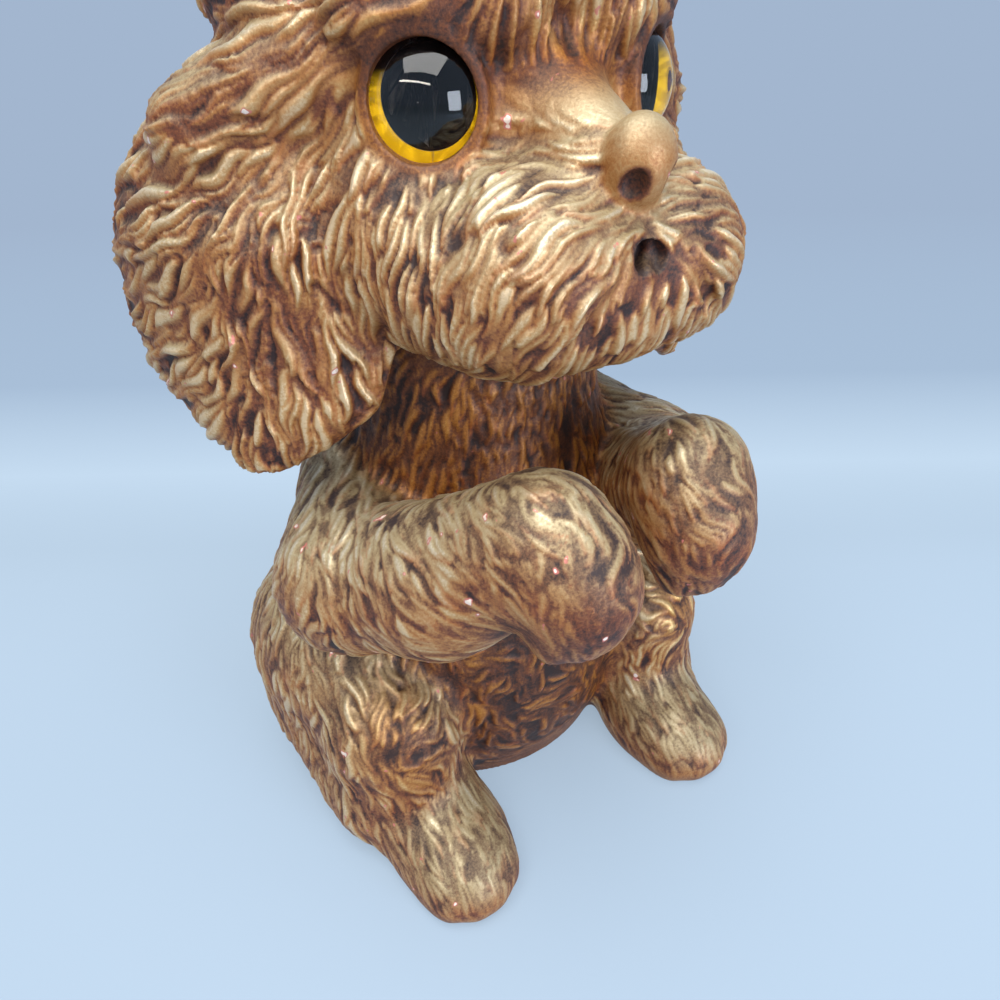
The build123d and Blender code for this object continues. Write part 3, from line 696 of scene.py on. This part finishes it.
def gold_paint():
    """Gold rubbed over purple-brown: dark dull grooves with painted shade, bronze flanks, painted olive
    sheen on top, pink chips.
    """
    material, add = new_material("rubbed_gold_paint_over_brown_plaster")
    ridge, warm, tip, wear = [add("Attribute", attribute_name=name).outputs["Fac"] for name in PAINTED]
    spot = add("NewGeometry").outputs
    facing = add("SeparateXYZ", {0: spot["Normal"]}).outputs["Z"]
    # Noise scales are 1000 over a spacing in millimetres; the paint's real grain is finer than 0.8 mm
    noises = []
    for spacing, detail, rough in ((22, 3.0, 0.6), (0.8, 3.0, 0.65), (6, 2.0, 0.5)):
        look = {"Vector": spot["Position"], "Scale": 1000 / spacing, "Detail": detail, "Roughness": rough}
        noises.append(add("TexNoise", look).outputs["Fac"])
    patch, grain, flake = noises
    shifted = add("Math", {0: patch, 1: 0.5, 2: -0.25}, operation="MULTIPLY_ADD").outputs[0]
    rubbed = add("Math", {0: ridge, 1: shifted}, operation="ADD").outputs[0]
    speck = add("Math", {0: grain, 1: 0.65, 2: -0.325}, operation="MULTIPLY_ADD").outputs[0]
    rubbed = add("Math", {0: rubbed, 1: speck}, operation="ADD").outputs[0]
    ramps = [add("ValToRGB", {"Fac": rubbed}, stops).outputs[0] for stops in (BRONZE, PAINTED_TOP_SHEEN, ORANGE)]
    mixed, painted_top_sheen, orange = ramps
    # Painted sheen: the more a place faces up, the more it takes the olive copy, as if lit from above
    lit = add("MapRange", {"Value": facing, "From Min": 0.1, "From Max": 0.8, "To Max": 0.85}).outputs[0]
    tip = add("Math", {0: tip, 1: patch}, operation="MULTIPLY").outputs[0]
    worn = add("Math", {0: ridge, 1: 0.12, 2: flake}, operation="MULTIPLY_ADD").outputs[0]
    worn = add("Math", {0: wear, 1: 0.06, 2: worn}, operation="MULTIPLY_ADD").outputs[0]
    pink = add("MapRange", {"Value": worn, "From Min": 0.785, "From Max": 0.8, "To Max": 0.75}).outputs[0]
    bare = add("MapRange", {"Value": worn, "From Min": 0.82, "From Max": 0.83, "To Max": 0.9}).outputs[0]
    touches = ((tip, colour(LOCK_TIP)), (pink, colour(UNDERCOAT)), (bare, colour(BARE)))
    for share, tone in ((lit, painted_top_sheen), (warm, orange), *touches):
        mixed = add("Mix", {"Factor": share, 6: mixed, 7: tone}, data_type="RGBA").outputs[2]
    shine = {"Value": rubbed, "From Min": 0.3, "From Max": 0.9, "To Min": 0.05, "To Max": 0.45}
    rough = {"Value": rubbed, "From Min": 0.2, "From Max": 0.9, "To Min": 0.6, "To Max": 0.35}
    finish = {
        "Base Color": mixed,
        "Metallic": add("MapRange", shine).outputs[0],
        "Roughness": add("MapRange", rough).outputs[0],
        "Normal": add("Bump", {"Height": grain, "Strength": 0.5, "Distance": 0.0003}).outputs[0],
    }
    add("OutputMaterial", {"Surface": add("BsdfPrincipled", finish).outputs[0]})
    return material


def plain(name, text, rough, metal=0.0, specular=0.5):
    """One even finish."""
    material, add = new_material(name)
    finish = {"Base Color": colour(text), "Roughness": rough, "Metallic": metal}
    shader = add("BsdfPrincipled", finish | {"Specular IOR Level": specular})
    add("OutputMaterial", {"Surface": shader.outputs[0]})
    return material


def clear_glass():
    """Polished dome: the front bends the view and mirrors the window, the back lets light through."""
    material, add = new_material("polished_clear_glass")
    white = (1, 1, 1, 1)
    # The view bends less than through real glass, whose index is 1.5
    bent = add("BsdfRefraction", {"Color": white, "Roughness": 0.0, "IOR": 1.2}).outputs[0]
    shine = add("BsdfGlossy", {"Color": white, "Roughness": 0.02}).outputs[0]
    mirrored = add("Fresnel", {"IOR": 1.5}).outputs[0]
    front = add("MixShader", {0: mirrored, 1: bent, 2: shine}).outputs[0]
    through = add("BsdfTransparent", {"Color": white}).outputs[0]
    back = add("NewGeometry").outputs["Backfacing"]
    shadow = add("LightPath").outputs["Is Shadow Ray"]
    passed = add("Math", {0: back, 1: shadow}, operation="MAXIMUM").outputs[0]
    add("OutputMaterial", {"Surface": add("MixShader", {0: passed, 1: front, 2: through}).outputs[0]})
    return material


BLACK, YELLOW = "#050506", "#c79a10"


def ring_enamel():
    """Yellow enamel under the dome, black at the top as painted shade of the upper lid, so that only a
    crescent shows.
    """
    material, add = new_material("yellow_enamel_with_painted_lid_shade")
    height = add("SeparateXYZ", {0: add("NewGeometry").outputs["Position"]}).outputs["Z"]
    # Painted shade: above this height the ring turns black, as in the lid's shadow
    share = add("MapRange", {"Value": height, "From Min": 0.259, "From Max": 0.263}).outputs[0]
    tones = {"Factor": share, 6: colour(YELLOW), 7: colour(BLACK)}
    mixed = add("Mix", tones, data_type="RGBA").outputs[2]
    shader = add("BsdfPrincipled", {"Base Color": mixed, "Roughness": 0.6, "Specular IOR Level": 0.0})
    add("OutputMaterial", {"Surface": shader.outputs[0]})
    return material


gold = gold_paint()
glass = clear_glass()
yellow = ring_enamel()
# Black enamel is a deep dark well with no shine of its own, since the dome over it has the shine
black = plain("black_enamel", BLACK, 0.6, specular=0.0)
# Bare plaster is pale and matte, behind the eyes
plaster = plain("bare_plaster", "#d8c3b2", 0.9)
# Iron wire is grey and half dull, inside the joints
iron = plain("dull_iron_wire", "#6b645e", 0.5, metal=0.8)
finishes = {"eye_glass": glass, "eye_iris": yellow, "eye_pupil": black, "eye_bed": plaster}
finishes |= {"foreleg_wire": iron, "ear_wire": iron}
for side in ("right", "left"):
    for node, finish in finishes.items():
        materials = bpy.data.objects[f"{side}_{node}"].data.materials
        materials.clear()
        materials.append(finish)

# Body, hind legs and forelegs from one form, so that the shoulders run on

points, normals, quads = mesh_of(body, reach=104, low=(-124, -4), high=(84, 208), pitch=COARSE * 0.82)
level = np.ones(len(points), np.float32)
level[points[:, 2] < 1.0] = 0
level[column(points, -WALL) < 2.0] = 0
level *= np.clip((points[:, 2] - 2) / 8, 0, 1)
shape, ridge, tip = furred(points, normals, quads, level)
shape[:, 2] = np.maximum(shape[:, 2], 0)
# Orange on belly and thigh curls; the belly darker, partly paint with less gold and partly painted shade
# under the arms and head, the paws darker as painted shade, and the feet darker toward the bottom and front
front = np.clip(1 - column(points) / 5, 0, 1) * (points[:, 1] < 10)
curl = blot(points, (64, -52, 62), (16, 22, 20))
warm = np.maximum(0.85 * front, 0.75 * curl)
paw = blot(points, (26, -102, 146), (20, 20, 22))
foot = np.clip((40 - points[:, 2]) / 25, 0, 1) * np.clip((-45 - points[:, 1]) / 20, 0, 1)
ridge = ridge * (1 - 0.35 * front) * (1 - 0.58 * paw) * (1 - 0.22 * foot)
# The right paw is held 9 mm ahead of the left one and 8 mm higher
shift = np.clip(points[:, 0] / 8, -1, 1) * blot(points, (26, -96, 148), (30, 30, 30))
shape[:, 1] += 4.5 * shift
shape[:, 2] -= 4 * shift
centre = points[quads].mean(1)
forms = [column(centre)] + [leg(centre, s) for leg in (foreleg, hind_leg) for s in (-1, 1)]
kind = np.argmin(np.stack(forms), 0)
kind[(kind == 0) & (centre[:, 1] > 0)] = 5
hollow = column(centre, -WALL) < 2
kind[hollow] = 6 + (centre[hollow, 1] > 0)
names = (
    ("torso_fur", "torso"),
    ("right_foreleg_fur", "right_foreleg"),
    ("left_foreleg_fur", "left_foreleg"),
    ("right_hind_leg_fur", "torso"),
    ("left_hind_leg_fur", "torso"),
    ("back_fur", "torso"),
    ("front_hollow", "torso"),
    ("back_hollow", "torso"),
)
values = {"ridge": ridge, "warm": warm, "tip": tip, "wear": paw}
for i, (name, node) in enumerate(names):
    add_piece(name, shape, quads[kind == i], values, gold, (f"{node}_casting",))

# Head with ears from one form

points, normals, quads = mesh_of(head, reach=112, low=(-100, 158), high=(68, 326), pitch=COARSE * 0.66)
level = np.ones(len(points), np.float32)
# Smooth eye rims, insides of the ears, saddle between the eyes, and nose
for s in (-1, 1):
    gap = np.linalg.norm(points - eye_place(s), axis=1)
    level *= np.clip((gap - EYE_R - 1.4) / 2.5, 0, 1)
    flap = (ear(points, s) < skull(points)) & (points[:, 2] < FLAP_TOP)
    outer = normals[:, :2] @ (EAR_OUT * np.float32((s, 1)))
    level[flap] *= np.clip(0.15 + 1.5 * outer, 0.05, 1)[flap]
gap = (points[:, 0] / 22) ** 2 + ((points[:, 2] - 260) / 7.5) ** 2
saddle = np.exp(-(gap**2)) * (points[:, 1] < -38)
level *= 1 - 0.93 * saddle
gap = np.linalg.norm((points - np.float32((0, -81, 246.5))) / np.float32((0.85, 0.9, 1)), axis=1)
off_nose = np.clip((gap - 9.5) / 2, 0, 1)
level *= off_nose
shape, ridge, tip = furred(points, normals, quads, level)
# Orange between the eyes, a painted highlight on the bridge, brown rims, painted shade on the upper lids,
# gold nose, dark nostrils and mouth
# Painted highlight: the smooth bridge between the eyes is drawn toward the palest gold
pale = blot(points, (0, -60, 253), (18, 14, 4.5))
warm = blot(points, (0, -52, 264), (20, 18, 7)) * (1 - pale)
ridge = ridge * (1 - 0.3 * warm)
ridge = ridge + (0.97 - ridge) * 0.75 * pale
for s in (-1, 1):
    gap = np.linalg.norm(points - eye_place(s), axis=1)
    rim = np.clip((EYE_R + 3.2 - gap) / 1.5, 0, 1)
    # Painted shade: above each eye the lid is darkened as under the overhanging brow, on orange-brown paint
    lid = np.clip((EYE_R + 9 - gap) / 6, 0, 1) * np.clip((points[:, 2] - EYE_Z + 4) / 8, 0, 1)
    warm = np.maximum(warm, np.maximum(0.8 * rim, 0.7 * lid))
    ridge = (ridge * (1 - rim) + 0.4 * rim) * (1 - 0.4 * lid)
ridge = ridge * off_nose + 0.66 * (1 - off_nose)
for s in (-1, 1):
    ridge = ridge * np.clip(0.2 + nostril(points, s) / 1.2, 0, 1)
lips = np.clip(0.15 + mouth(points) / 1.5, 0, 1)
ridge, tip = ridge * lips, tip * lips
centre = points[quads].mean(1)
kind = np.argmin(np.stack([skull(centre), ear(centre, -1), ear(centre, 1)]), 0)
behind = (kind == 0) & (centre[:, 1] > -30)
kind[behind] = 3 + (centre[behind, 2] > 258)
names = (
    ("face", "head"),
    ("right_ear", "right_ear"),
    ("left_ear", "left_ear"),
    ("nape", "head"),
    ("crown", "head"),
)
values = {"ridge": ridge, "warm": warm, "tip": tip, "wear": np.zeros_like(tip)}
for i, (name, node) in enumerate(names):
    add_piece(f"{name}_fur", shape, quads[kind == i], values, gold, (f"{node}_casting",))

# Sweep: one pale blue sheet, with a painted band of light where it rises behind the figure

SWEEP_WITH_PAINTED_LIGHT_BAND = ((0.0, "#b6cce2"), (0.36, "#bad0e5"), (0.43, "#c6dcf1"), (0.55, "#a9bfd8"), (1.0, "#a3b6cf"))


def blue_paper():
    """Pale blue matte paper: takes the figure's soft shadow nearby, and farther back is seen glowing in its
    own blue, with a painted band of light.
    """
    material, add = new_material("pale_blue_paper")
    spot = add("SeparateXYZ", {0: add("NewGeometry").outputs["Position"]}).outputs
    # Metres behind the figure's middle, the way the camera looks
    depth = add("Math", {0: spot["X"], 1: 0.515}, operation="MULTIPLY").outputs[0]
    depth = add("Math", {0: spot["Y"], 1: 0.857, 2: depth}, operation="MULTIPLY_ADD").outputs[0]
    # Painted light: a lighter band across the paper behind the figure
    band = add("MapRange", {"Value": depth, "From Min": -0.3, "From Max": 0.9}).outputs[0]
    band = add("ValToRGB", {"Fac": band}, SWEEP_WITH_PAINTED_LIGHT_BAND).outputs[0]
    lit = add("BsdfPrincipled", {"Base Color": colour("#a9bed4"), "Roughness": 0.75}).outputs[0]
    far = add("Emission", {"Color": band}).outputs[0]
    share = {"Value": depth, "From Min": 0.1, "From Max": 0.2, "To Min": 0.6, "To Max": 1.0}
    share = add("MapRange", share).outputs[0]
    share = add("Math", {0: share, 1: seen_rays(add)}, operation="MULTIPLY").outputs[0]
    add("OutputMaterial", {"Surface": add("MixShader", {0: share, 1: lit, 2: far}).outputs[0]})
    return material


bpy.ops.mesh.primitive_plane_add(size=60, location=(0, 0, -0.0002))
floor = bpy.context.object
floor.name = "sweep"
floor.data.materials.append(blue_paper())

# Light: a broad soft box overhead, a strip at the figure's right, a window in front and a dim neutral room

world = bpy.data.worlds.new("pale_room")
bpy.context.scene.world = world
world.use_nodes = True
world.node_tree.nodes.clear()
add = node_adder(world.node_tree)
dim = [0.34 * c for c in colour("#c2c0bc")]
air = add("Mix", {"Factor": seen_rays(add), 6: dim, 7: colour("#a3b6cf")}, data_type="RGBA").outputs[2]
add("OutputWorld", {"Surface": add("Background", {"Color": air}).outputs[0]})


def lamp(name, place, aim, power, size, text):
    """Area light aimed at a point."""
    data = bpy.data.lights.new(name, "AREA")
    data.shape = "RECTANGLE"
    data.size, data.size_y = size
    data.energy = power
    data.color = colour(text)[:3]
    made = bpy.data.objects.new(name, data)
    made.location = place
    made.rotation_mode = "QUATERNION"
    made.rotation_quaternion = (Vector(aim) - Vector(place)).to_track_quat("-Z", "Y")
    bpy.context.scene.collection.objects.link(made)


# Name, place and aim in metres, watts, size and colour
lamp("overhead", (-0.15, -0.15, 1.2), (0, 0, 0.15), 22, (1.1, 1.1), "#fdfbf8")
lamp("strip", (-0.72, -0.5, 0.84), (0, 0, 0.25), 4, (1.0, 0.06), "#fff6ea")
lamp("window", (0.27, -0.97, 0.32), (0, 0, 0.25), 7, (0.42, 0.48), "#e6f0ff")

# Camera where the photographer's stood, with a wide lens

lens = bpy.data.cameras.new("photo_camera")
lens.sensor_width, lens.lens = 36.0, 0.7231 * 36.0
lens.clip_start = 0.01
camera = bpy.data.objects.new("photo_camera", lens)
turn = Euler([radians(angle) for angle in (54.695, 0.898, -31.636)])
place = Vector((-114.5, -208.5 + AXIS_Y, 277.7)) / 1000
camera.matrix_world = Matrix.Translation(place) @ turn.to_matrix().to_4x4()
bpy.context.scene.collection.objects.link(camera)
bpy.context.scene.camera = camera
